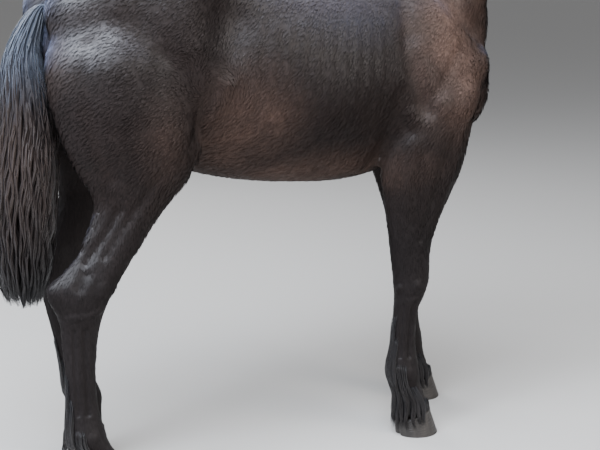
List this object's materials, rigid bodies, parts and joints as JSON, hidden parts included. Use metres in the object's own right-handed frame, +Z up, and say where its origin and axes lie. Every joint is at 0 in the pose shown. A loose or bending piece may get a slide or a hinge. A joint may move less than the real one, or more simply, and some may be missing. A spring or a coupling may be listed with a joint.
{
  "type": "horse",
  "caption": "Life-size young Friesian horse standing at rest, the left hind foot on its toe, with long mane, forelock, tail and feathered fetlocks.",
  "frame": {"origin": "on the floor under the middle of the outline", "axes": "+X from tail to head, +Y to the horse's left, +Z up"},
  "size_m": [2.0228, 0.5158, 2.0632],
  "materials": {
    "coat": "short glossy black-brown summer coat",
    "long_hair": "long wavy black hair, browner at the ends",
    "hoof_horn": "dark grey horn",
    "eye": "wet dark brown eye"
  },
  "bodies": {
    "root": {"torso": "coat", "neck": "coat", "head": "coat", "tail": "long_hair", "eye_left": "eye", "ear_left": "coat", "hind_leg_left": "coat", "hind_cannon_left": "coat", "fore_leg_left": "coat", "fore_cannon_left": "coat", "hoof_hind_left": "hoof_horn", "hoof_fore_left": "hoof_horn", "eye_right": "eye", "ear_right": "coat", "hind_leg_right": "coat", "hind_cannon_right": "coat", "fore_leg_right": "coat", "fore_cannon_right": "coat", "hoof_hind_right": "hoof_horn", "hoof_fore_right": "hoof_horn"}
  },
  "joints": []
}
